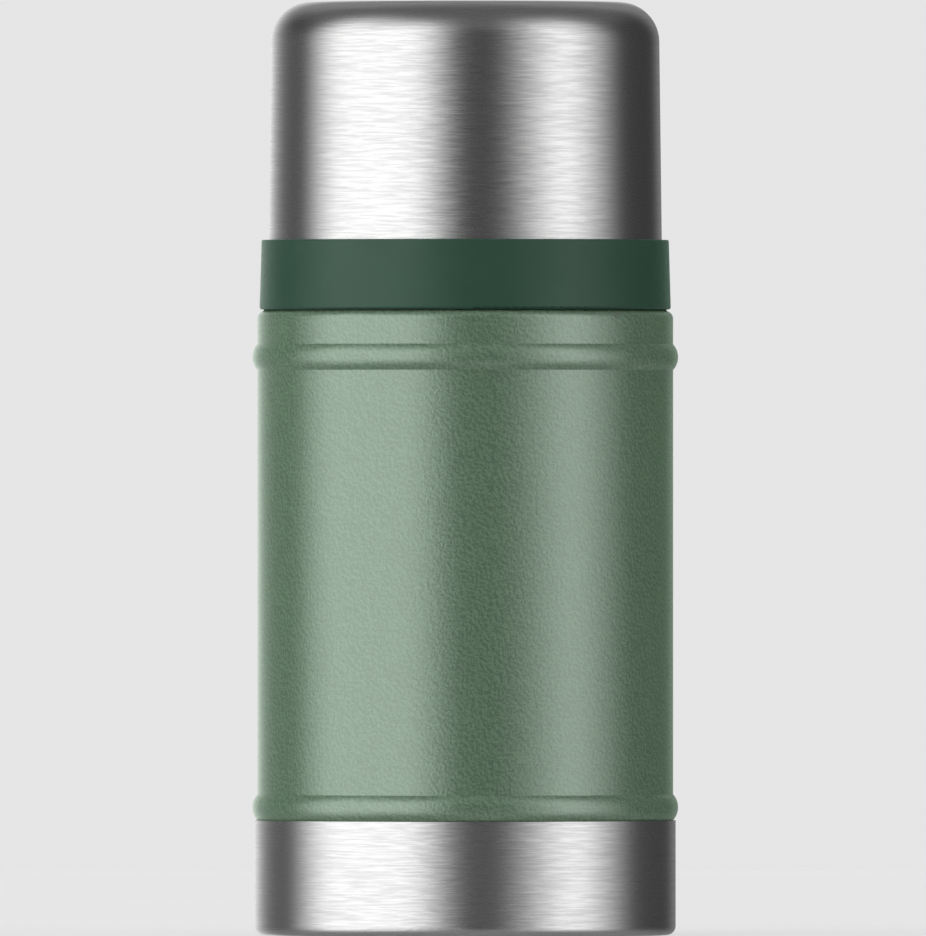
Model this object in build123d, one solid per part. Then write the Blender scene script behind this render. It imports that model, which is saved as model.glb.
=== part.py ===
from build123d import *
from math import radians, tan
import os

# Insulated food jar: a double-walled steel vessel in a base cup, a screw stopper in its throat,
# and over both a double-walled lid that serves as a bowl. Millimetres. The origin is the centre
# of the resting face, +Z is the axis that everything is turned about, and -Y is the front.

# --- Fits ---------------------------------------------------------------------------------
FIT_GAP = 0.05            # pressed or welded pieces, on each side
GLUE_GAP = 0.1            # glued pieces
FOAM_GAP = 0.25           # insulation inside its cavity
RUN_GAP = 0.3             # pieces that move past each other

# --- Casing: the painted outer wall -------------------------------------------------------
BODY_RADIUS = 49.6
BODY_HEIGHT = 148.9       # resting face to the top of the shoulder
CASING_SHEET = 0.6
SHOULDER_WIDTH = 6.0      # from the body's side in to the neck's
SHOULDER_RADIUS = 1.9
NECK_HEIGHT = 13.6        # shoulder to the lip
NECK_ROOT_RADIUS = 1.0
BEAD_WIDTH = 6.2          # each rolled bead
BEAD_HEIGHT = 1.2         # how far it stands out
UPPER_BEAD_DROP = 7.95    # shoulder to the top of the upper bead

# --- Base cup and pad ---------------------------------------------------------------------
BASE_HEIGHT = 27.4
BASE_SHEET = 0.5
BASE_CORNER = 2.2
FOOT_WIDTH = 6.2          # the ring that the jar stands on, out to the cup's side
FOOT_RECESS = 2.0         # underside inside that ring
PAD_RADIUS = 29.0
CASING_LIFT = 3.0         # cup's inner floor at the ring to the casing's lower edge

# --- Casing end cap, with the sealed vent that the air was drawn through ------------------
CAP_SHEET = 0.6
CAP_DEPTH = 4.5           # casing's lower edge to the cap's upper face
CAP_CORNER = 3.0
DIMPLE_RADIUS = 8.0
DIMPLE_RISE = 1.6
DIMPLE_RUN = 3.0
VENT_RADIUS = 0.8
SEAL_BEAD_RADIUS = 3.2
SEAL_BEAD_DROP = 0.9
SEAL_BEAD_EDGE = 0.6

# --- Inner vessel -------------------------------------------------------------------------
VESSEL_SHEET = 0.5
VACUUM_GAP = 5.4          # between the two walls of the body
THROAT_GAP = 1.9          # between the two walls of the neck
FLOOR_GAP = 6.0           # between the end cap and the vessel's floor
VESSEL_CORNER = 12.0
CHOKE_DROP = 2.9          # shoulder to the top of the slope into the throat
CHOKE_LENGTH = 6.0
CHOKE_RADIUS = 4.0
LIP_RADIUS = 0.8

# --- Getter and heat shield, in the vacuum ------------------------------------------------
GETTER_RADIUS = 4.0
GETTER_HEIGHT = 2.5
GETTER_OFFSET = 20.0
CLIP_SHEET = 0.3
CLIP_WIDTH = 5.0
CLIP_FOOT = 3.5
CLIP_BEND = 0.5
FOIL_SHEET = 0.2
FOIL_MARGIN = 2.0         # from the ends of the vessel's straight wall
FOIL_SEAM = 2.5

# --- Stopper ------------------------------------------------------------------------------
STOPPER_REACH = 23.5      # lip down to the stopper's underside
STOPPER_WALL = 2.2
STOPPER_CORNER = 2.0
CORE_GAP = 1.4            # room for the thread between the core and the throat
LAND_GAP = 0.4            # plain collar of the core under the flange, in the throat
LAND_LENGTH = 3.5         # how far that collar reaches below the lip
FLANGE_INSET = 0.4        # flange inside the neck's side
FLANGE_HEIGHT = 2.5
FLANGE_EDGE = 0.8
HEAD_INSET = 1.4
HEAD_HEIGHT = 9.6
HEAD_EDGE = 0.8           # bevel
HEAD_WALL = 2.6
SCALLOP_COUNT = 24
SCALLOP_RADIUS = 3.0
SCALLOP_DEPTH = 0.8
COVER_RIM = 2.5           # thickness of the cover where it sits in the head
COVER_WALL = 2.0
COVER_EDGE = 0.8
DISH_INSET = 6.1          # cover's edge to the dish
DISH_DEPTH = 6.5
DISH_CORNER = 2.0
GRIP_WIDTH = 9.0
GRIP_EDGE = 2.0
STOPPER_SEAL_HEIGHT = 1.4
STOPPER_SEAL_INSET = 0.2  # seal's outer edge inside the flange's

# --- Bowl lid -----------------------------------------------------------------------------
LID_HEIGHT = 73.3         # collar's lower edge to the top
COLLAR_STAND = 0.3        # collar's lower edge above the shoulder
COLLAR_HEIGHT = 16.6
COLLAR_FLARE = 0.48       # how much wider the collar is at its lower edge
COLLAR_LIP = 1.62         # collar's wall outside the shell
COLLAR_TOP_EDGE = 0.4
COLLAR_FOOT_EDGE = 0.6
THREAD_SPACE = 1.4        # between the neck's side and the collar's bore
THREAD_BORE_HEIGHT = 10.8
LEDGE_REACH = 0.9         # shelf above the thread that the liner stands on
LEDGE_HEIGHT = 1.5
SLEEVE_STEP = 0.2         # sleeve round the liner's foot, wider than the thread's bore
SLEEVE_WALL = 1.15
SLEEVE_RISE = 6.5
SHELL_SHEET = 0.5
SHELL_LAP = 8.1           # how far the shell reaches down into the collar
SHELL_TAPER = 0.7         # how much narrower the shell is at the top
SHELL_CORNER = 9.5
LINER_SHEET = 0.5
LINER_CORNER = 12.0
LINER_DRAFT = 1.5         # degrees
LID_GAP = 8.0             # shell's top to the liner's
LID_SEAL_INSET = 1.2      # thread's bore to the seal
LID_SEAL_WIDTH = 1.85
LID_SEAL_HEIGHT = 1.3

# --- Radii that follow --------------------------------------------------------------------
neck_radius = BODY_RADIUS - SHOULDER_WIDTH
casing_bore = BODY_RADIUS - CASING_SHEET
base_radius = BODY_RADIUS + GLUE_GAP + BASE_SHEET
foot_radius = base_radius - FOOT_WIDTH
cap_radius = casing_bore - FIT_GAP
vessel_radius = casing_bore - VACUUM_GAP
throat_radius = neck_radius - CASING_SHEET - THROAT_GAP
throat_bore = throat_radius - VESSEL_SHEET
core_radius = throat_bore - CORE_GAP
land_radius = throat_bore - LAND_GAP
flange_radius = neck_radius - FLANGE_INSET
head_radius = flange_radius - HEAD_INSET
cavity_radius = core_radius - STOPPER_WALL
cover_seat_radius = head_radius - HEAD_WALL
cover_radius = cover_seat_radius - FIT_GAP
dish_radius = cover_radius - DISH_INSET
collar_bore = neck_radius + THREAD_SPACE
sleeve_bore = collar_bore + SLEEVE_STEP
liner_radius = sleeve_bore - FIT_GAP
sleeve_radius = sleeve_bore + SLEEVE_WALL
shell_radius = sleeve_radius + FIT_GAP + SHELL_SHEET
groove_radius = shell_radius + FIT_GAP
collar_top_radius = groove_radius + COLLAR_LIP
collar_low_radius = collar_top_radius + COLLAR_FLARE
lid_seal_bore = collar_bore + LID_SEAL_INSET
lid_seal_radius = lid_seal_bore + LID_SEAL_WIDTH

# --- Heights that follow ------------------------------------------------------------------
casing_foot_z = BASE_SHEET + CASING_LIFT
cap_z = casing_foot_z + CAP_DEPTH
dimple_z = cap_z + DIMPLE_RISE
vessel_floor_z = cap_z + FLOOR_GAP
pad_z = FOOT_RECESS + BASE_SHEET
lower_bead_z = BASE_HEIGHT
upper_bead_z = BODY_HEIGHT - UPPER_BEAD_DROP - BEAD_WIDTH
choke_top_z = BODY_HEIGHT - CHOKE_DROP
choke_foot_z = choke_top_z - CHOKE_LENGTH
lip_z = BODY_HEIGHT + NECK_HEIGHT
lip_seat_z = lip_z - VESSEL_SHEET
stopper_foot_z = lip_z - STOPPER_REACH
flange_z = lip_z + STOPPER_SEAL_HEIGHT
head_z = flange_z + FLANGE_HEIGHT
head_top_z = head_z + HEAD_HEIGHT
cover_seat_z = head_top_z - COVER_RIM
dish_z = head_top_z - DISH_DEPTH
collar_z = BODY_HEIGHT + COLLAR_STAND
collar_top_z = collar_z + COLLAR_HEIGHT
ledge_z = collar_z + THREAD_BORE_HEIGHT
ledge_top_z = ledge_z + LEDGE_HEIGHT
sleeve_top_z = ledge_top_z + SLEEVE_RISE
shell_edge_z = collar_top_z - SHELL_LAP
lid_top_z = collar_z + LID_HEIGHT
liner_top_z = lid_top_z - LID_GAP
lid_seal_top_z = BODY_HEIGHT + LID_SEAL_HEIGHT


def turned(outline):
    """Turn a closed outline, drawn as (radius, height), about the axis."""
    return revolve(Plane.XZ * make_face(outline), Axis.Z)


def block(*points, radius):
    """Closed outline through the points, with one corner radius for each."""
    return FilletPolyline(*points, radius=radius, close=True)


def sheet(path, thickness, side=Side.LEFT):
    """Closed outline of a metal sheet: the path is one face, and the metal lies to that side."""
    return Wire(path.edges()).offset_2d(thickness, side=side, closed=True)


def to_axis(path):
    """Closed outline between a path that ends on the axis and the axis."""
    start = path @ 0
    foot = Line((0, start.Y), start)
    return Wire(foot.edges() + path.edges() + Line(path @ 1, foot @ 0).edges())


def ring(bore, radius, foot_z, height):
    """Plain ring round the axis."""
    return Pos(Z=foot_z + height / 2) * (Cylinder(radius, height) - Cylinder(bore, height))


def bead(foot_z):
    """Rolled bead on the body's side, from the bottom up."""
    crown = (BODY_RADIUS + BEAD_HEIGHT, foot_z + BEAD_WIDTH / 2)
    return ThreePointArc((BODY_RADIUS, foot_z), crown, (BODY_RADIUS, foot_z + BEAD_WIDTH))


def outer_casing():
    lower = bead(lower_bead_z)
    upper = bead(upper_bead_z)
    shoulder = FilletPolyline(
        (BODY_RADIUS, upper_bead_z + BEAD_WIDTH),
        (BODY_RADIUS, BODY_HEIGHT),
        (neck_radius, BODY_HEIGHT),
        (neck_radius, lip_seat_z),
        radius=[SHOULDER_RADIUS, NECK_ROOT_RADIUS],
    )
    foot = Line((BODY_RADIUS, casing_foot_z), (BODY_RADIUS, lower_bead_z))
    side = Line((BODY_RADIUS, lower_bead_z + BEAD_WIDTH), (BODY_RADIUS, upper_bead_z))
    return turned(sheet(foot + lower + side + upper + shoulder, CASING_SHEET))


def inner_vessel():
    path = FilletPolyline(
        (0, vessel_floor_z),
        (vessel_radius, vessel_floor_z),
        (vessel_radius, choke_foot_z),
        (throat_radius, choke_top_z),
        (throat_radius, lip_seat_z),
        (neck_radius, lip_seat_z),
        radius=[VESSEL_CORNER, CHOKE_RADIUS, CHOKE_RADIUS, LIP_RADIUS],
    )
    return turned(sheet(path, VESSEL_SHEET))


def casing_end_cap():
    path = FilletPolyline(
        (cap_radius, casing_foot_z),
        (cap_radius, cap_z),
        (DIMPLE_RADIUS, cap_z),
        (DIMPLE_RADIUS - DIMPLE_RUN, dimple_z),
        (VENT_RADIUS, dimple_z),
        radius=[CAP_CORNER, 0, 0],
    )
    return turned(sheet(path, CAP_SHEET))


def vacuum_seal_bead():
    plug_radius = VENT_RADIUS - FIT_GAP
    under_z = dimple_z - CAP_SHEET
    low_z = under_z - SEAL_BEAD_DROP
    return turned(block(
        (0, dimple_z),
        (plug_radius, dimple_z),
        (plug_radius, under_z),
        (SEAL_BEAD_RADIUS, under_z),
        (SEAL_BEAD_RADIUS, low_z),
        (0, low_z),
        radius=[0, 0, 0, 0, SEAL_BEAD_EDGE, 0],
    ))


def getter():
    middle_z = vessel_floor_z - GETTER_HEIGHT / 2
    return Pos(X=GETTER_OFFSET, Z=middle_z) * Cylinder(GETTER_RADIUS, GETTER_HEIGHT)


def getter_clip():
    inside = GETTER_RADIUS + RUN_GAP
    end = inside + CLIP_SHEET + CLIP_FOOT
    low_z = vessel_floor_z - GETTER_HEIGHT
    path = FilletPolyline(
        (end, vessel_floor_z),
        (inside, vessel_floor_z),
        (inside, low_z),
        (-inside, low_z),
        (-inside, vessel_floor_z),
        (-end, vessel_floor_z),
        radius=CLIP_BEND,
    )
    strip = Plane.XZ * make_face(sheet(path, CLIP_SHEET))
    return Pos(X=GETTER_OFFSET) * extrude(strip, CLIP_WIDTH / 2, both=True)


def heat_shield_foil():
    low_z = vessel_floor_z + VESSEL_CORNER + FOIL_MARGIN
    height = choke_foot_z - FOIL_MARGIN - low_z
    bore = vessel_radius + GLUE_GAP
    seam = Pos(Y=bore, Z=low_z + height / 2) * Box(FOIL_SEAM, FOIL_SEAM, height)
    return ring(bore, bore + FOIL_SHEET, low_z, height) - seam


def base_cup():
    path = FilletPolyline(
        (0, FOOT_RECESS),
        (foot_radius - FOOT_RECESS, FOOT_RECESS),
        (foot_radius, 0),
        (base_radius, 0),
        (base_radius, BASE_HEIGHT),
        radius=[FOOT_RECESS, FOOT_RECESS, BASE_CORNER],
    )
    return turned(sheet(path, BASE_SHEET))


def base_pad():
    height = cap_z - CAP_SHEET - GLUE_GAP - pad_z
    return Pos(Z=pad_z + height / 2) * Cylinder(PAD_RADIUS, height)


def stopper_seal():
    bore = land_radius + RUN_GAP
    return ring(bore, flange_radius - STOPPER_SEAL_INSET, lip_z, STOPPER_SEAL_HEIGHT)


def stopper_body():
    land_z = lip_z - LAND_LENGTH
    body = turned(block(
        (0, stopper_foot_z),
        (core_radius, stopper_foot_z),
        (core_radius, land_z - land_radius + core_radius),
        (land_radius, land_z),
        (land_radius, flange_z),
        (flange_radius, flange_z),
        (flange_radius, head_z),
        (head_radius, head_z),
        (head_radius, head_top_z - HEAD_EDGE),
        (head_radius - HEAD_EDGE, head_top_z),
        (cover_seat_radius, head_top_z),
        (cover_seat_radius, cover_seat_z),
        (cavity_radius, cover_seat_z),
        (cavity_radius, stopper_foot_z + STOPPER_WALL),
        (0, stopper_foot_z + STOPPER_WALL),
        radius=[0, STOPPER_CORNER, 0, 0, 0, 0, FLANGE_EDGE] + [0] * 6 + [STOPPER_CORNER, 0],
    ))
    from_head = (Align.CENTER, Align.CENTER, Align.MIN)
    scallop = Pos(Z=head_z) * Cylinder(SCALLOP_RADIUS, HEAD_HEIGHT, align=from_head)
    circle = PolarLocations(head_radius + SCALLOP_RADIUS - SCALLOP_DEPTH, SCALLOP_COUNT)
    return body - circle * scallop


def stopper_insulation():
    low_z = stopper_foot_z + STOPPER_WALL + FOAM_GAP
    top_z = dish_z - COVER_WALL - FOAM_GAP
    radius = cavity_radius - FOAM_GAP
    return turned(block(
        (0, low_z),
        (radius, low_z),
        (radius, top_z),
        (0, top_z),
        radius=[0, STOPPER_CORNER, 0, 0],
    ))


def stopper_cover():
    dish = turned(block(
        (0, dish_z - COVER_WALL),
        (dish_radius + COVER_WALL, dish_z - COVER_WALL),
        (dish_radius + COVER_WALL, cover_seat_z),
        (cover_radius, cover_seat_z),
        (cover_radius, head_top_z),
        (dish_radius, head_top_z),
        (dish_radius, dish_z),
        (0, dish_z),
        radius=[0, DISH_CORNER, 0, 0, 0, COVER_EDGE, DISH_CORNER, 0],
    ))
    # The bar across the dish ends inside the dish's wall.
    length = 2 * (dish_radius + COVER_EDGE)
    grip = Pos(Z=dish_z + DISH_DEPTH / 2) * Box(length, GRIP_WIDTH, DISH_DEPTH)
    rounded = grip.edges().filter_by(Axis.X).group_by(Axis.Z)[-1]
    return dish + fillet(rounded, GRIP_EDGE)


def lid_seal():
    return ring(lid_seal_bore, lid_seal_radius, BODY_HEIGHT, LID_SEAL_HEIGHT)


def lid_collar():
    ledge_radius = collar_bore - LEDGE_REACH
    groove_z = shell_edge_z - GLUE_GAP
    return turned(block(
        (collar_bore, collar_z),
        (collar_bore, ledge_z),
        (ledge_radius, ledge_z),
        (ledge_radius, ledge_top_z),
        (sleeve_bore, ledge_top_z),
        (sleeve_bore, sleeve_top_z),
        (sleeve_radius, sleeve_top_z),
        (sleeve_radius, groove_z),
        (groove_radius, groove_z),
        (groove_radius, collar_top_z),
        (collar_top_radius, collar_top_z),
        (collar_low_radius, collar_z),
        (lid_seal_radius + RUN_GAP, collar_z),
        (lid_seal_radius + RUN_GAP, lid_seal_top_z),
        (lid_seal_bore - RUN_GAP, lid_seal_top_z),
        (lid_seal_bore - RUN_GAP, collar_z),
        radius=[0] * 10 + [COLLAR_TOP_EDGE, COLLAR_FOOT_EDGE] + [0] * 4,
    ))


def shell_path():
    """Outer face of the lid's shell, from its edge in the collar up to the axis."""
    return FilletPolyline(
        (shell_radius, shell_edge_z),
        (shell_radius, collar_top_z),
        (shell_radius - SHELL_TAPER, lid_top_z),
        (0, lid_top_z),
        radius=[0, SHELL_CORNER],
    )


def liner_path():
    """Face of the lid's liner towards the shell, from its foot up to the axis."""
    draft = (liner_top_z - sleeve_top_z) * tan(radians(LINER_DRAFT))
    return FilletPolyline(
        (liner_radius, ledge_top_z),
        (liner_radius, sleeve_top_z),
        (liner_radius - draft, liner_top_z),
        (0, liner_top_z),
        radius=[0, LINER_CORNER],
    )


def lid_shell():
    return turned(sheet(shell_path(), SHELL_SHEET))


def lid_liner():
    return turned(sheet(liner_path(), LINER_SHEET))


def lid_insulation():
    room = turned(to_axis(shell_path())) - turned(sheet(shell_path(), SHELL_SHEET + FOAM_GAP))
    room -= turned(to_axis(liner_path()))
    room -= turned(sheet(liner_path(), FOAM_GAP, Side.RIGHT))
    foot_z = sleeve_top_z + FOAM_GAP
    return room - Cylinder(shell_radius, 2 * foot_z)


NODES = [
    outer_casing,
    inner_vessel,
    casing_end_cap,
    vacuum_seal_bead,
    getter,
    getter_clip,
    heat_shield_foil,
    base_cup,
    base_pad,
    stopper_seal,
    stopper_body,
    stopper_insulation,
    stopper_cover,
    lid_seal,
    lid_collar,
    lid_shell,
    lid_liner,
    lid_insulation,
]

os.makedirs("parts", exist_ok=True)
for node in NODES:
    export_step(node(), f"parts/{node.__name__}.step")
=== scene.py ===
from collections import namedtuple
from math import cos, pi, radians, sin

import bpy
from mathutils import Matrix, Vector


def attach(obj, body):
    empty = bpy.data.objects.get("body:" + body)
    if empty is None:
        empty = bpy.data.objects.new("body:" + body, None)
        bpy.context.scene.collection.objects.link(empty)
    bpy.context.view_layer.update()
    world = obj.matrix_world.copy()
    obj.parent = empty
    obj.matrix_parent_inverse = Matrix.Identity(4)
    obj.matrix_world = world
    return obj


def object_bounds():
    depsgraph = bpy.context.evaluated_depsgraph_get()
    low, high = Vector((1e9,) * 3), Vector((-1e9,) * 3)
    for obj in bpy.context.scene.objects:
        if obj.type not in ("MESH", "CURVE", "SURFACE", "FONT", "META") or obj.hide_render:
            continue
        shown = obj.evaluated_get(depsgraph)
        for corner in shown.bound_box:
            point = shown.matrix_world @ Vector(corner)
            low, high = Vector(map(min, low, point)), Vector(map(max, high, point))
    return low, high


# The looks of an insulated food jar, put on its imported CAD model. Metres. +Z is the axis that
# every piece is turned about, and -Y is the front. The script adds finishes to the CAD pieces,
# four threads, a floor, the light and the camera.

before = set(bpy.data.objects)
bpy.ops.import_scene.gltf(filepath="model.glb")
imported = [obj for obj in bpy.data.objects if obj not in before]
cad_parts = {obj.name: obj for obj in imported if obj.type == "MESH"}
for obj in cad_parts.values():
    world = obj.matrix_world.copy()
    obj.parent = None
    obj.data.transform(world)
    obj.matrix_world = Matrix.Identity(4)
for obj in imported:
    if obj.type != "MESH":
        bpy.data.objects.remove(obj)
cad_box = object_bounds()
scene = bpy.context.scene
MM = 0.001

# --- Camera: square on, through a very long lens ----------------------------------------------
IMAGE_WIDTH, IMAGE_HEIGHT = 926, 936
JAR_TOP_PX, JAR_BOTTOM_PX = 1.3, 936.0    # rows of the photo
JAR_AXIS_PX = 465.2      # column of the photo
LENS_MM, SENSOR_MM = 1600.0, 36.0
SCALE_DEPTH = 20 * MM    # plane in front of the axis at which the photo's scale is met
NEAREST_VIEW = 1.0


def make_camera():
    low, high = cad_box
    metres_per_px = (high.z - low.z) / (JAR_BOTTOM_PX - JAR_TOP_PX)
    distance = IMAGE_HEIGHT * metres_per_px * LENS_MM / SENSOR_MM
    data = bpy.data.cameras.new("camera")
    data.lens = LENS_MM
    data.sensor_width = SENSOR_MM
    data.clip_start = NEAREST_VIEW
    data.clip_end = 3 * distance
    camera = bpy.data.objects.new("camera", data)
    scene.collection.objects.link(camera)
    x = (IMAGE_WIDTH / 2 - JAR_AXIS_PX) * metres_per_px
    z = low.z + (JAR_BOTTOM_PX - IMAGE_HEIGHT / 2) * metres_per_px
    camera.location = (x, -distance - SCALE_DEPTH, z)
    camera.rotation_euler = (pi / 2, 0, 0)
    scene.camera = camera


# --- Node helpers -----------------------------------------------------------------------------
LEVEL = (1.0, 1.0, 0.0)
UPRIGHT = (0.0, 0.0, 1.0)
Place = namedtuple("Place", "at x y z radius")


def opaque(colour):
    return (*colour, 1)


class Nodes:
    """Short calls that build a node tree. Where nothing else is said, they return an output."""

    def __init__(self, tree):
        self.tree = tree
        tree.nodes.clear()

    def add(self, kind, **settings):
        """Add one node, and return the node itself."""
        node = self.tree.nodes.new(kind)
        for name, value in settings.items():
            setattr(node, name, value)
        return node

    def put(self, value, socket):
        """Link an output to the socket, or set a plain value on it."""
        if isinstance(value, bpy.types.NodeSocket):
            self.tree.links.new(value, socket)
        else:
            socket.default_value = value

    def math(self, operation, a, b=0.0):
        node = self.add("ShaderNodeMath", operation=operation)
        self.put(a, node.inputs[0])
        self.put(b, node.inputs[1])
        return node.outputs[0]

    def plus(self, a, b):
        return self.math("ADD", a, b)

    def minus(self, a, b):
        return self.math("SUBTRACT", a, b)

    def times(self, a, b):
        return self.math("MULTIPLY", a, b)

    def step(self, value, low, high, out_low=0.0, out_high=1.0):
        """Smooth step: out_low up to the low value, and out_high from the high value on."""
        node = self.add("ShaderNodeMapRange", interpolation_type="SMOOTHSTEP")
        node.inputs["From Min"].default_value = low
        node.inputs["From Max"].default_value = high
        node.inputs["To Min"].default_value = out_low
        node.inputs["To Max"].default_value = out_high
        self.put(value, node.inputs["Value"])
        return node.outputs[0]

    def vector(self, operation, a, b=None, scale=None, output="Vector"):
        node = self.add("ShaderNodeVectorMath", operation=operation)
        self.put(a, node.inputs[0])
        if b is not None:
            self.put(b, node.inputs[1])
        if scale is not None:
            self.put(scale, node.inputs["Scale"])
        return node.outputs[output]

    def split(self, vector):
        """The vector's x, y and z, as three outputs."""
        node = self.add("ShaderNodeSeparateXYZ")
        self.put(vector, node.inputs[0])
        return node.outputs

    def mix(self, factor, a, b):
        node = self.add("ShaderNodeMix", data_type="RGBA")
        self.put(factor, node.inputs["Factor"])
        self.put(a, node.inputs[6])
        self.put(b, node.inputs[7])
        return node.outputs[2]

    def noise(self, vector, scale, detail=2.0, roughness=0.5):
        node = self.add("ShaderNodeTexNoise")
        self.put(vector, node.inputs["Vector"])
        self.put(scale, node.inputs["Scale"])
        self.put(detail, node.inputs["Detail"])
        self.put(roughness, node.inputs["Roughness"])
        return node.outputs[0]

    def bump(self, height, distance, strength=1.0, normal=None):
        node = self.add("ShaderNodeBump")
        node.inputs["Strength"].default_value = strength
        node.inputs["Distance"].default_value = distance
        self.put(height, node.inputs["Height"])
        if normal is not None:
            self.put(normal, node.inputs["Normal"])
        return node.outputs[0]

    def place(self):
        """Where the point is on the object, and how far it is from the axis."""
        at = self.add("ShaderNodeTexCoord").outputs["Object"]
        radius = self.vector("LENGTH", self.vector("MULTIPLY", at, LEVEL), output="Value")
        return Place(at, *self.split(at), radius)

    def outward(self, at):
        """The level direction that leads away from the axis."""
        return self.vector("NORMALIZE", self.vector("MULTIPLY", at, LEVEL))

    def turned(self):
        """The normal of a piece turned about Z, with any lean round the axis taken out."""
        place = self.add("ShaderNodeTexCoord")
        normal = place.outputs["Normal"]
        outward = self.outward(place.outputs["Object"])
        facing = self.vector("DOT_PRODUCT", normal, outward, output="Value")
        level = self.vector("SCALE", outward, scale=facing)
        rise = self.vector("MULTIPLY", normal, UPRIGHT)
        turned = self.add("ShaderNodeVectorTransform", vector_type="NORMAL")
        turned.convert_from = "OBJECT"
        turned.convert_to = "WORLD"
        self.put(self.vector("ADD", level, rise), turned.inputs[0])
        return turned.outputs[0]

    def lay(self, place, grain, fold):
        """Coordinates of a grain that runs round the axis, on a wall and on the disc it turns into.

        grain is the scale along x, along y and across the run, per metre. fold is 1 where the
        wall turns in at its foot, and -1 where it turns in at its top.
        """
        across = self.plus(place.z, self.times(place.radius, fold))
        node = self.add("ShaderNodeCombineXYZ")
        for value, scale, socket in zip((place.x, place.y, across), grain, node.inputs):
            self.put(self.times(value, scale), socket)
        return node.outputs[0]


# --- World: a grey studio with tall soft boxes ------------------------------------------------
BACKGROUND = (0.787, 0.787, 0.787)
STUDIO_DARK = 0.050
STUDIO_OVERHEAD = 0.13
STUDIO_FLOOR = 0.24
OVERHEAD_BLEND = (20, 42)    # degrees above the horizon between which the overhead light comes in
FLOOR_BLEND = (2, 40)        # degrees below it between which the floor's light does

# azimuths are in degrees from the camera's side towards the right: where the box begins, is
# full, begins to fade and ends. The rise and the fall may overlap. up and down are the degrees
# above and below the horizon between which it fades.
SoftBox = namedtuple("SoftBox", "azimuths strength up down")
SOFT_BOXES = (
    SoftBox(azimuths=(-115, -76, -35, 1), strength=1.42, up=(20.5, 70), down=(5, 50)),
    SoftBox(azimuths=(14, 72, 49, 110), strength=1.56, up=(20.5, 70), down=(5, 50)),
    SoftBox(azimuths=(172, 184, 168, 232), strength=1.26, up=(0, 24), down=(0, 30)),
    SoftBox(azimuths=(206, 224, 224, 256), strength=0.08, up=(0, 24), down=(0, 30)),
    SoftBox(azimuths=(142, 166, 195, 225), strength=0.20, up=(32, 75), down=(0, 30)),
)


def add_soft_box(n, light, box, azimuth, height, depth):
    """The light with one soft box added, at each full turn that brings it into -180 to 180."""
    begins, full, fades, ends = box.azimuths
    tall = n.times(n.step(height, *box.up, 1.0, 0.0), n.step(depth, *box.down, 1.0, 0.0))
    for turn in (-360, 0, 360):
        if ends + turn < -180 or begins + turn > 180:
            continue
        rise = n.step(azimuth, begins + turn, full + turn)
        fall = n.step(azimuth, fades + turn, ends + turn, 1.0, 0.0)
        light = n.plus(light, n.times(n.times(n.times(rise, fall), tall), box.strength))
    return light


def make_world():
    world = bpy.data.worlds.new("studio")
    scene.world = world
    world.use_nodes = True
    n = Nodes(world.node_tree)
    x, y, z = n.split(n.add("ShaderNodeTexCoord").outputs["Generated"])
    azimuth = n.times(n.math("ARCTAN2", x, n.times(y, -1.0)), 180 / pi)
    height = n.times(n.math("ARCSINE", z), 180 / pi)
    depth = n.times(height, -1.0)
    overhead = n.step(height, *OVERHEAD_BLEND, 0.0, STUDIO_OVERHEAD - STUDIO_DARK)
    below = n.step(depth, *FLOOR_BLEND, 0.0, STUDIO_FLOOR - STUDIO_DARK)
    light = n.plus(n.plus(overhead, below), STUDIO_DARK)
    for box in SOFT_BOXES:
        light = add_soft_box(n, light, box, azimuth, height, depth)
    camera_ray = n.add("ShaderNodeLightPath").outputs["Is Camera Ray"]
    shown = n.mix(camera_ray, light, opaque(BACKGROUND))
    background = n.add("ShaderNodeBackground")
    n.put(shown, background.inputs["Color"])
    output = n.add("ShaderNodeOutputWorld")
    n.put(background.outputs[0], output.inputs["Surface"])


def make_sun(name, azimuth, elevation, strength, spread):
    """Soft fill with no reflection of its own. Angles are as in SOFT_BOXES."""
    data = bpy.data.lights.new(name, "SUN")
    data.energy = strength
    data.angle = radians(spread)
    sun = bpy.data.objects.new(name, data)
    scene.collection.objects.link(sun)
    sun.rotation_euler = (radians(90 - elevation), 0, radians(azimuth))
    sun.visible_glossy = False


# --- Materials --------------------------------------------------------------------------------
WHITE = (1, 1, 1)
MIDDLE = 0.5                 # of a noise's values
MOST = (0.3, 0.7)            # most of them lie between these
NEARLY_ALL = (0.2, 0.8)      # and nearly all of them between these
CLOUDY = (3.0, 0.6)          # detail and roughness of a noise with soft clouds


def material(name):
    """A new material, its nodes, and the inputs of its Principled shader."""
    made = bpy.data.materials.new(name)
    made.use_nodes = True
    n = Nodes(made.node_tree)
    shader = n.add("ShaderNodeBsdfPrincipled")
    output = n.add("ShaderNodeOutputMaterial")
    n.put(shader.outputs[0], output.inputs["Surface"])
    return made, n, shader.inputs


BRUSHED_DARK, BRUSHED_LIGHT = (0.60, 0.60, 0.60), (0.75, 0.75, 0.747)
BRUSHING = (165.0, 38.0, 2600.0)       # the grain, as Nodes.lay takes it
BRUSH_NOISE = (1.0, 3.0, 0.6)          # scale, detail and roughness, on the lay's coordinates
LEAN_SHIFT = (37.0, 11.0, 5.0)         # from the scratches' noise to that of their lean
SCRATCH_LEAN = 0.095
SCRATCH_ROUGHNESS = 0.035
SCRATCH_RANGE = (0.25, 0.75)           # values of the scratches over which the roughness falls
SIDE_BLEND = (0.58, 0.88)              # how far out the sides begin, as a share of the radius
SIDE_DEPTH = 0.45                      # depth of the brushing there


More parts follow.
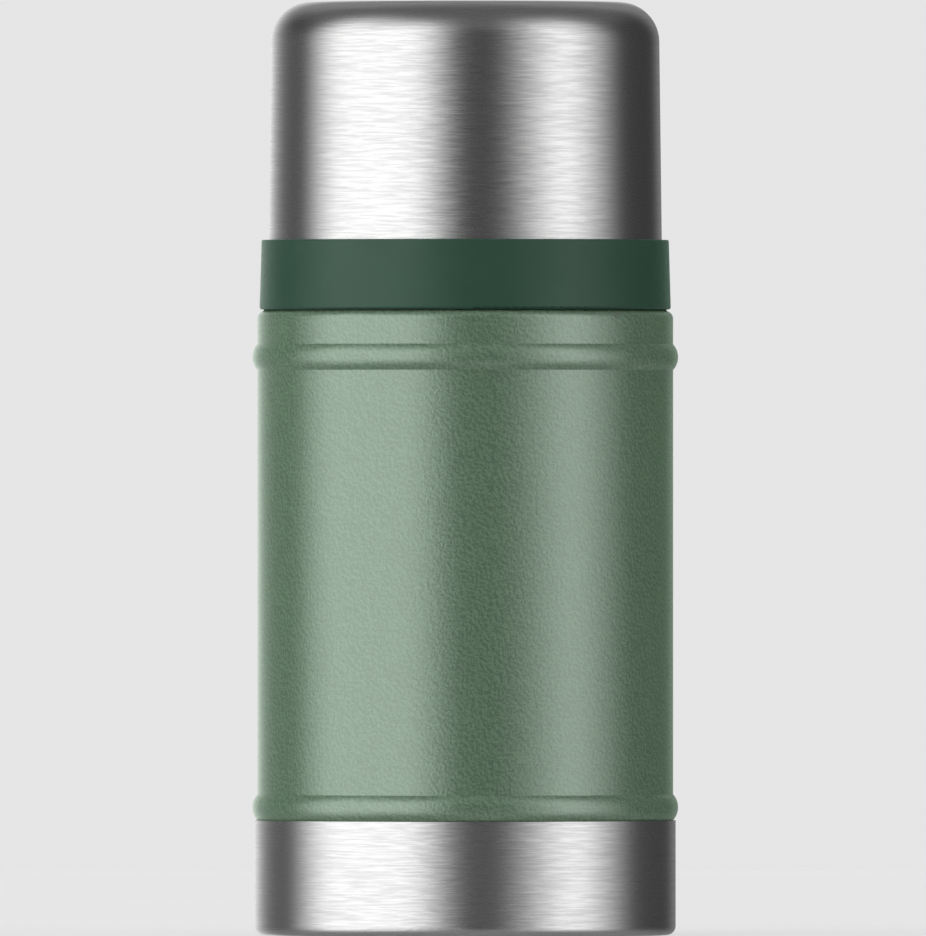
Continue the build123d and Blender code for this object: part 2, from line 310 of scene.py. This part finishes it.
def brushed_steel(name, fold, roughness, metallic):
    """Steel brushed round the axis."""
    made, n, shader = material(name)
    place = n.place()
    lay = n.lay(place, BRUSHING, fold)
    # The brushing is deepest front and back, and lighter at the sides.
    aside = n.math("DIVIDE", n.math("ABSOLUTE", place.x), place.radius)
    depth = n.step(aside, *SIDE_BLEND, 1.0, SIDE_DEPTH)
    scratches = n.times(n.minus(n.noise(lay, *BRUSH_NOISE), MIDDLE), depth)
    scratches = n.plus(scratches, MIDDLE)
    shade = n.step(scratches, *MOST)
    n.put(n.mix(shade, opaque(BRUSHED_DARK), opaque(BRUSHED_LIGHT)), shader["Base Color"])
    shader["Metallic"].default_value = metallic
    dull, smooth = roughness + SCRATCH_ROUGHNESS, roughness - SCRATCH_ROUGHNESS
    n.put(n.step(scratches, *SCRATCH_RANGE, dull, smooth), shader["Roughness"])
    shader["Anisotropic"].default_value = 0.4
    shader["Anisotropic Rotation"].default_value = 0.25
    tangent = n.add("ShaderNodeTangent", direction_type="RADIAL", axis="Z").outputs[0]
    n.put(tangent, shader["Tangent"])
    # Each scratch leans the surface a little to one side.
    lean = n.minus(n.noise(n.vector("ADD", lay, LEAN_SHIFT), *BRUSH_NOISE), MIDDLE)
    lean = n.times(n.times(lean, SCRATCH_LEAN), n.times(depth, depth))
    leaning = n.vector("ADD", n.turned(), n.vector("SCALE", tangent, scale=lean))
    n.put(n.vector("NORMALIZE", leaning), shader["Normal"])
    return made


SATIN = (40.0, 40.0, 1500.0)           # its grain, as Nodes.lay takes it
SATIN_DARK, SATIN_LIGHT = (0.56, 0.56, 0.56), (0.66, 0.66, 0.655)
SATIN_ROUGHNESS = (0.24, 0.32)


def satin_steel(name, turned):
    """Bare drawn steel. turned is for the pieces that are turned about Z."""
    made, n, shader = material(name)
    grain = n.noise(n.lay(n.place(), SATIN, fold=1.0), 1.0)
    n.put(n.mix(grain, opaque(SATIN_DARK), opaque(SATIN_LIGHT)), shader["Base Color"])
    shader["Metallic"].default_value = 1.0
    n.put(n.step(grain, *NEARLY_ALL, *SATIN_ROUGHNESS), shader["Roughness"])
    if turned:
        n.put(n.turned(), shader["Normal"])
    return made


# The casing's outline, as part.py has it, and how far inside it the enamel's edge is drawn.
BODY_RADIUS = 49.6 * MM
SHOULDER_TOP = 148.9 * MM
NECK_RADIUS = 43.6 * MM
ENAMEL_DEPTH = 0.35 * MM
ENAMEL_CORNER_DEPTH = 1.25 * MM        # at the shoulder's round, radius and height added
ENAMEL_EDGE = 0.07 * MM
NECK_ROOT = (1.2 * MM, 1.4 * MM)       # out from the neck's side, on top of the shoulder
NECK_CLEAR = (2.2 * MM, 2.4 * MM)      # the same for the shoulder's round

BARE_STEEL = (0.6, 0.6, 0.6)
ENAMEL_DARK, ENAMEL_LIGHT = (0.102, 0.167, 0.107), (0.164, 0.263, 0.167)
HAMMER, BLOTCH, WRINKLE = 1700.0, 260.0, 1050.0     # noise scales per metre
# Shares in the enamel's colour: two tones of the enamel itself, and the painted shade of each
# wrinkle.
HAMMER_SHARE, BLOTCH_SHARE, WRINKLE_SHADE_SHARE = 0.5, 0.15, 1.15
MOTTLE_AND_SHADE_RANGE = (0.32, 0.68)            # sums of the three, two enamel tones and the painted wrinkle shade, that give the dark and the light green
WRINKLE_SHADE_REACH = 0.16 * MM              # between the two points whose difference is the painted shade of a wrinkle
HAMMER_RELIEF = 0.045 * MM


def enamelled(n, place):
    """1 on the outside of the casing, and 0 on its neck and its inside."""
    def past(value, start):
        return n.step(value, start, start + ENAMEL_EDGE)

    def off_neck(blend):
        return n.step(place.radius, *(NECK_RADIUS + reach for reach in blend))

    side = past(place.radius, BODY_RADIUS - ENAMEL_DEPTH)
    diagonal = n.plus(place.radius, place.z)
    corner = past(diagonal, BODY_RADIUS + SHOULDER_TOP - ENAMEL_CORNER_DEPTH)
    corner = n.times(corner, off_neck(NECK_CLEAR))
    top = n.times(past(place.z, SHOULDER_TOP - ENAMEL_DEPTH), off_neck(NECK_ROOT))
    return n.math("MAXIMUM", n.math("MAXIMUM", side, corner), top)


def painted_wrinkle_shade(n, at):
    """Painted shade of each wrinkle in the enamel, as if lit from above and round the axis:
    positive on one side of each wrinkle and negative on the other.
    """
    around = n.vector("CROSS_PRODUCT", UPRIGHT, n.outward(at))
    aside = n.vector("SCALE", n.vector("ADD", around, UPRIGHT), scale=WRINKLE_SHADE_REACH)
    beside = n.vector("ADD", at, aside)
    return n.minus(n.noise(at, WRINKLE, 1.0), n.noise(beside, WRINKLE, 1.0))


def casing_finish():
    """Hammered green enamel outside, with painted shade on each wrinkle, and bare satin steel on
    the neck and inside.
    """
    made, n, shader = material("hammered_paint")
    place = n.place()
    enamel = enamelled(n, place)
    hammer = n.noise(place.at, HAMMER, 1.0)
    blotch = n.noise(place.at, BLOTCH)
    mottle = n.plus(n.times(hammer, HAMMER_SHARE), n.times(blotch, BLOTCH_SHARE))
    # Painted shade: each wrinkle is lighter on the side that faces up and round the axis, as if lit
    # from there, and darker on the other.
    mottle = n.plus(mottle, n.times(painted_wrinkle_shade(n, place.at), WRINKLE_SHADE_SHARE))
    mottle = n.plus(mottle, MIDDLE * (1 - HAMMER_SHARE - BLOTCH_SHARE))
    green = n.mix(n.step(mottle, *MOTTLE_AND_SHADE_RANGE), opaque(ENAMEL_DARK), opaque(ENAMEL_LIGHT))
    n.put(n.mix(enamel, opaque(BARE_STEEL), green), shader["Base Color"])
    n.put(n.minus(1.0, enamel), shader["Metallic"])
    shader["Roughness"].default_value = 0.17
    shader["IOR"].default_value = 2.47
    shader["Specular Tint"].default_value = (0.86, 1.0, 0.89, 1)
    shader["Sheen Weight"].default_value = 0.3
    shader["Sheen Roughness"].default_value = 0.3
    shader["Sheen Tint"].default_value = (0.4, 1.0, 0.45, 1)
    n.put(n.bump(n.times(hammer, enamel), HAMMER_RELIEF, normal=n.turned()), shader["Normal"])
    return made


MOULD_CLOUD, MOULD_GLOSS, MOULD_GRAIN = 60.0, 900.0, 2500.0    # noise scales per metre
MOULD_ROUGHNESS = 0.04                 # how far the roughness strays either way
MOULD_RELIEF = 0.01 * MM


def plastic(name, dark, light, roughness, tint=WHITE, sheen=0.0, turned=False):
    """Moulded plastic with a fine spark-eroded grain. turned is as for satin_steel."""
    made, n, shader = material(name)
    at = n.place().at
    cloud = n.step(n.noise(at, MOULD_CLOUD, *CLOUDY), *MOST)
    n.put(n.mix(cloud, opaque(dark), opaque(light)), shader["Base Color"])
    smooth, dull = roughness - MOULD_ROUGHNESS, roughness + MOULD_ROUGHNESS
    n.put(n.step(n.noise(at, MOULD_GLOSS), *MOST, smooth, dull), shader["Roughness"])
    shader["IOR"].default_value = 1.45
    shader["Specular Tint"].default_value = opaque(tint)
    shader["Sheen Weight"].default_value = sheen
    shader["Sheen Roughness"].default_value = 0.3
    shader["Sheen Tint"].default_value = (0.45, 1.0, 0.7, 1)
    under = n.turned() if turned else None
    grain = n.noise(at, MOULD_GRAIN)
    n.put(n.bump(grain, MOULD_RELIEF, strength=0.5, normal=under), shader["Normal"])
    return made


CELL_EDGE = 0.25             # how far a cell's edge reaches into it, as a share of its size
CELL_RELIEF = 0.2 * MM


def foam(name, dark, light, cell):
    """Expanded foam with closed cells, darker at their edges: cell is their size in metres."""
    made, n, shader = material(name)
    cells = n.add("ShaderNodeTexVoronoi", feature="DISTANCE_TO_EDGE")
    n.put(n.place().at, cells.inputs["Vector"])
    cells.inputs["Scale"].default_value = 1 / cell
    inner = n.step(cells.outputs["Distance"], 0.0, CELL_EDGE)
    n.put(n.mix(inner, opaque(dark), opaque(light)), shader["Base Color"])
    shader["Roughness"].default_value = 0.9
    n.put(n.bump(inner, CELL_RELIEF, strength=0.6), shader["Normal"])
    return made


METAL_ROUGHNESS = 0.06                 # how far the roughness strays either way


def metal(name, dark, light, roughness, grain, relief):
    """Bare metal with a mottled surface: grain is per metre, relief in metres."""
    made, n, shader = material(name)
    mottle = n.noise(n.place().at, grain, *CLOUDY)
    n.put(n.mix(n.step(mottle, *MOST), opaque(dark), opaque(light)), shader["Base Color"])
    shader["Metallic"].default_value = 1.0
    dull, smooth = roughness + METAL_ROUGHNESS, roughness - METAL_ROUGHNESS
    n.put(n.step(mottle, *NEARLY_ALL, dull, smooth), shader["Roughness"])
    n.put(n.bump(mottle, relief, strength=0.7), shader["Normal"])
    return made


def give(made, *nodes):
    for node in nodes:
        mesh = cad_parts[node].data
        mesh.materials.clear()
        mesh.materials.append(made)


# --- Threads ----------------------------------------------------------------------------------
LEAD = 9.6 * MM              # rise in one turn
STARTS = 2
HALF_PITCH = LEAD / STARTS / 2
RIDGE_DEPTH = 1.05 * MM
RIDGE_ROOT, RIDGE_TIP = 1.9 * MM, 0.9 * MM    # its width at the wall and at its crest
RIDGE_SINK = 0.15 * MM       # how far it stands into the wall
RIDGE_EDGE = 0.25 * MM       # bevel of its edges
RIDGE_EDGE_ANGLE = 25        # degrees past which an edge is bevelled
CORNERS = 4                  # of its section
TURN_STEPS = 96              # sections in one turn
RUN_OUT = 0.06               # share of a turn in which a ridge dies away at each end

COLLAR_BORE, CORE, THROAT = (radius * MM for radius in (45.0, 39.2, 40.6))
LID_PHASE = 148.8 * MM       # height at which the neck's first ridge would cross the +X side
STOPPER_PHASE = 140.2 * MM   # the same for the stopper's


def ridge_section(wall, side, share):
    """Corners of a ridge's section, as radius and rise, where it has that share of its depth."""
    root = wall - side * RIDGE_SINK
    crest = wall + side * RIDGE_DEPTH * share
    return (
        (root, -RIDGE_ROOT / 2),
        (crest, -RIDGE_TIP / 2),
        (crest, RIDGE_TIP / 2),
        (root, RIDGE_ROOT / 2),
    )


def ridge(wall, side, low_z, high_z, phase, begin):
    """Vertices and faces of one ridge between two heights. Its vertices are numbered from begin."""
    first = (low_z + RIDGE_ROOT / 2 - phase) / LEAD
    last = (high_z - RIDGE_ROOT / 2 - phase) / LEAD
    steps = round((last - first) * TURN_STEPS)
    vertices, faces = [], []
    for i in range(steps + 1):
        turn = first + (last - first) * i / steps
        share = min(1.0, min(i, steps - i) / (RUN_OUT * TURN_STEPS))
        share = share * share * (3 - 2 * share)
        angle = turn * 2 * pi
        for radius, rise in ridge_section(wall, side, share):
            vertices.append((radius * cos(angle), radius * sin(angle), phase + turn * LEAD + rise))
    for a in range(begin, begin + CORNERS * steps, CORNERS):
        b = a + CORNERS
        for j in range(CORNERS):
            k = (j + 1) % CORNERS
            faces.append((a + j, b + j, b + k, a + k))
    end = begin + CORNERS * steps
    faces.append(tuple(range(begin, begin + CORNERS)))
    faces.append(tuple(reversed(range(end, end + CORNERS))))
    if side < 0:
        faces = [face[::-1] for face in faces]
    return vertices, faces


def thread(name, wall, side, low_z, high_z, phase, body, made):
    """Right-hand thread on a wall: side is 1 outside a wall of that radius, and -1 in a bore."""
    vertices, faces = [], []
    for start in range(STARTS):
        offset = phase + start * LEAD / STARTS
        new_vertices, new_faces = ridge(wall, side, low_z, high_z, offset, len(vertices))
        vertices += new_vertices
        faces += new_faces
    mesh = bpy.data.meshes.new(name)
    mesh.from_pydata(vertices, [], faces)
    mesh.materials.append(made)
    piece = bpy.data.objects.new(name, mesh)
    scene.collection.objects.link(piece)
    bevel = piece.modifiers.new("rounded", "BEVEL")
    bevel.width = RIDGE_EDGE
    bevel.segments = 2
    bevel.limit_method = "ANGLE"
    bevel.angle_limit = radians(RIDGE_EDGE_ANGLE)
    for face in mesh.polygons:
        face.use_smooth = True
    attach(piece, body)


# --- Floor ------------------------------------------------------------------------------------
FLOOR_RADIUS = 1.6
FLOOR_SIDES = 64
FLOOR_GLOW = 0.72            # keeps the floor as pale as the background where the camera sees it
FLOOR_LIT = (0.81, 0.81, 0.81)         # its colour for the light that it sends to the jar
FLOOR_SEEN = (0.25, 0.25, 0.25)        # and for the camera
FLOOR_CLOUD = 9.0                      # noise scale per metre
FLOOR_CLOUD_SHARE = 0.04               # how much of white the clouds mix in


def make_floor():
    mesh = bpy.data.meshes.new("floor")
    angles = [2 * pi * i / FLOOR_SIDES for i in range(FLOOR_SIDES)]
    rim = [(FLOOR_RADIUS * cos(angle), FLOOR_RADIUS * sin(angle), 0) for angle in angles]
    mesh.from_pydata(rim, [], [tuple(range(FLOOR_SIDES))])
    floor = bpy.data.objects.new("floor", mesh)
    scene.collection.objects.link(floor)
    floor.visible_glossy = False
    made, n, shader = material("floor")
    cloud = n.noise(n.add("ShaderNodeTexCoord").outputs["Object"], FLOOR_CLOUD, *CLOUDY)
    camera_ray = n.add("ShaderNodeLightPath").outputs["Is Camera Ray"]
    shown = n.mix(camera_ray, opaque(FLOOR_LIT), opaque(FLOOR_SEEN))
    n.put(n.mix(n.times(cloud, FLOOR_CLOUD_SHARE), shown, opaque(WHITE)), shader["Base Color"])
    shader["Roughness"].default_value = 1.0
    shader["Emission Color"].default_value = opaque(BACKGROUND)
    n.put(n.times(camera_ray, FLOOR_GLOW), shader["Emission Strength"])
    mesh.materials.append(made)


# --- The scene --------------------------------------------------------------------------------
make_camera()
make_world()
make_sun("overhead", azimuth=0, elevation=90, strength=1.1, spread=100)
make_sun("left_fill", azimuth=-75, elevation=20, strength=0.5, spread=60)
make_floor()

satin = satin_steel("satin_steel", turned=True)
green = plastic(
    "green_plastic", (0.024, 0.071, 0.045), (0.028, 0.078, 0.050), roughness=0.38,
    tint=(0.87, 1, 0.92), sheen=0.28, turned=True,
)
black = plastic("black_plastic", (0.018, 0.018, 0.019), (0.024, 0.024, 0.025), roughness=0.45)
rubber = plastic("seal_rubber", (0.010, 0.022, 0.014), (0.014, 0.028, 0.018), roughness=0.65)
glass = plastic("solder_glass", (0.26, 0.26, 0.24), (0.34, 0.34, 0.31), roughness=0.2)
white_foam = foam("white_foam", (0.70, 0.70, 0.67), (0.86, 0.86, 0.83), cell=1.6 * MM)
grey_foam = foam("grey_foam", (0.14, 0.14, 0.14), (0.24, 0.24, 0.24), cell=0.9 * MM)
foil = metal(
    "copper_foil", (0.66, 0.38, 0.26), (0.78, 0.48, 0.34), roughness=0.22, grain=260.0,
    relief=0.3 * MM,
)
alloy = metal(
    "getter_alloy", (0.20, 0.20, 0.21), (0.32, 0.32, 0.33), roughness=0.6, grain=3000.0,
    relief=0.04 * MM,
)
give(casing_finish(), "outer_casing")
give(brushed_steel("brushed_steel_base", fold=1.0, roughness=0.285, metallic=0.975), "base_cup")
give(brushed_steel("brushed_steel_lid", fold=-1.0, roughness=0.275, metallic=1.0), "lid_shell")
give(green, "lid_collar")
give(satin, "inner_vessel", "casing_end_cap", "lid_liner")
give(satin_steel("satin_strip", turned=False), "getter_clip")
give(black, "stopper_body", "stopper_cover")
give(rubber, "stopper_seal", "lid_seal")
give(white_foam, "stopper_insulation", "lid_insulation")
give(grey_foam, "base_pad")
give(foil, "heat_shield_foil")
give(alloy, "getter")
give(glass, "vacuum_seal_bead")

# Each lid's ridges run halfway between those that they mate with.
thread(
    "neck_thread", NECK_RADIUS, side=1, low_z=150.9 * MM, high_z=159.6 * MM,
    phase=LID_PHASE, body="vessel", made=satin,
)
thread(
    "lid_thread", COLLAR_BORE, side=-1, low_z=150.4 * MM, high_z=158.9 * MM,
    phase=LID_PHASE + HALF_PITCH, body="bowl_lid", made=green,
)
thread(
    "stopper_thread", CORE, side=1, low_z=142.2 * MM, high_z=154.8 * MM,
    phase=STOPPER_PHASE, body="stopper", made=black,
)
thread(
    "throat_thread", THROAT, side=-1, low_z=147.4 * MM, high_z=156.4 * MM,
    phase=STOPPER_PHASE + HALF_PITCH, body="vessel", made=satin,
)

scene.view_settings.view_transform = "Standard"
